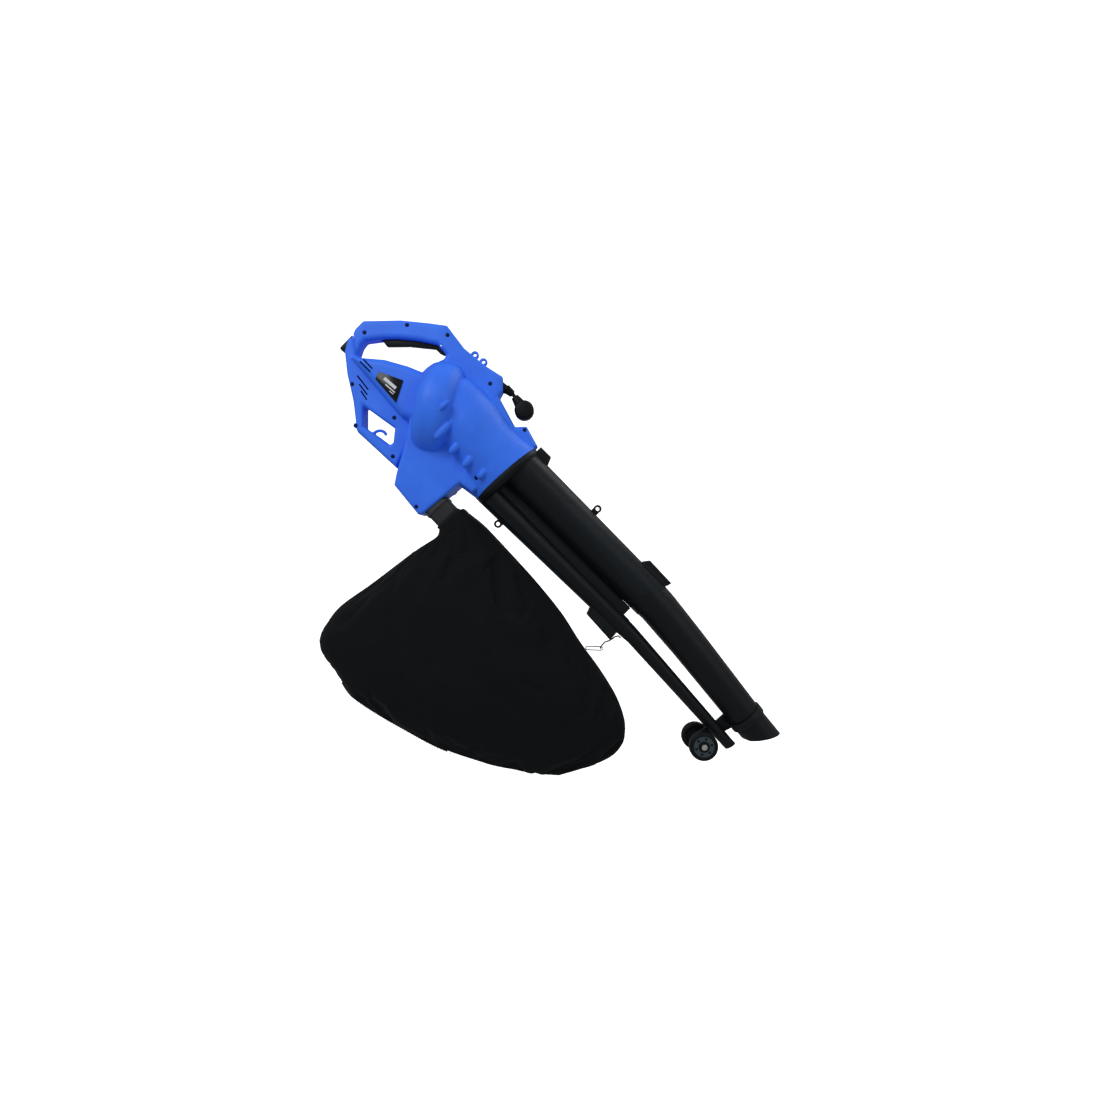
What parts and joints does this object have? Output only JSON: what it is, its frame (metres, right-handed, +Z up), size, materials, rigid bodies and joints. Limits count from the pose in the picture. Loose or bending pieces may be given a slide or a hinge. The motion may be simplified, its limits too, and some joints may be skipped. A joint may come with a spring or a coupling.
{
  "type": "leaf blower",
  "caption": "Hand-held electric leaf blower and vacuum with a looped handle, twin tubes, guide wheels and a hanging collecting bag.",
  "frame": {"origin": "centre of the grip of the top handle", "axes": "+X forward towards the nozzles, +Z up in the working attitude, -Y the user's right-hand side"},
  "size_m": [0.9126, 0.1908, 0.9055],
  "materials": {
    "blue_plastic": "satin",
    "black_plastic": "satin",
    "wheel_plastic": "matt",
    "fan_plastic": "matt",
    "cord_rubber": "matt",
    "bag_fabric": "matt",
    "steel": "brushed",
    "copper": "satin",
    "pin_brass": "polished"
  },
  "bodies": {
    "blower": {"bag_connector": "black_plastic", "bag_hook": "steel", "bag_loop": "bag_fabric", "bearing_front": "steel", "bearing_rear": "steel", "blow_nozzle": "black_plastic", "brush_holder_left": "copper", "brush_holder_right": "copper", "cord_gland": "cord_rubber", "housing_left": "blue_plastic", "housing_right": "blue_plastic", "motor_mount": "black_plastic", "motor_stator": "steel", "name_plate": "black_plastic", "plug": "cord_rubber", "plug_pin_1": "pin_brass", "plug_pin_2": "pin_brass", "power_cord": "cord_rubber", "power_switch": "black_plastic", "screw_collar": "steel", "screw_grip_front": "steel", "screw_grip_rear": "steel", "screw_grip_top": "steel", "screw_loop_front": "steel", "screw_loop_inner": "steel", "screw_loop_rear": "steel", "screw_louvre_high": "steel", "screw_louvre_low": "steel", "screw_lug_lower": "steel", "screw_lug_upper_high": "steel", "screw_lug_upper_low": "steel", "screw_nose": "steel", "screw_outlet_low": "steel", "screw_post": "steel", "speed_controller": "black_plastic", "speed_lever_pin": "steel", "suction_nozzle": "black_plastic", "trigger_pin": "steel", "trigger_spring": "steel", "twin_tube": "black_plastic", "wheel_axle": "steel", "wheel_bracket": "black_plastic"},
    "rotor": {"motor_shaft": "steel", "armature": "copper", "commutator": "copper", "impeller": "fan_plastic", "impeller_nut": "steel"},
    "trigger": {"trigger": "black_plastic"},
    "speed_lever": {"speed_lever": "black_plastic"},
    "mode_selector": {"mode_flap": "black_plastic", "mode_knob": "black_plastic"},
    "wheel_right": {"wheel_right": "wheel_plastic"},
    "wheel_left": {"wheel_left": "wheel_plastic"},
    "leaf_bag": {"leaf_bag": "bag_fabric", "bag_collar": "black_plastic"}
  },
  "joints": [
    {"name": "trigger_pull", "type": "hinge", "parent": "blower", "child": "trigger", "pos_m": [0.076, 0, -0.029], "axis": [0, 1, 0], "range_deg": [0, 3.5], "stiffness_Nm_per_rad": 1.5, "springref_deg": -6.88, "deforming": ["trigger_spring"]},
    {"name": "speed_lever_turn", "type": "hinge", "parent": "blower", "child": "speed_lever", "pos_m": [-0.098, 0, -0.009], "axis": [0, 1, 0], "range_deg": [0, 25]},
    {"name": "rotor_spin", "type": "hinge", "parent": "blower", "child": "rotor", "pos_m": [0.07, 0, -0.154], "axis": [0.9703, 0, -0.2421], "continuous": true},
    {"name": "mode_turn", "type": "hinge", "parent": "blower", "child": "mode_selector", "pos_m": [0.086, 0, -0.306], "axis": [0, -1, 0], "range_deg": [0, 98]},
    {"name": "wheel_right_spin", "type": "hinge", "parent": "blower", "child": "wheel_right", "pos_m": [0.588, -0.0375, -0.813], "axis": [0, 1, 0], "continuous": true},
    {"name": "wheel_left_spin", "type": "hinge", "parent": "blower", "child": "wheel_left", "pos_m": [0.588, 0.0375, -0.813], "axis": [0, 1, 0], "continuous": true},
    {"name": "bag_pull", "type": "slide", "parent": "blower", "child": "leaf_bag", "axis": [0.6899, 0, -0.7239], "range_m": [0, 0.05], "deforming": ["bag_loop"]}
  ]
}
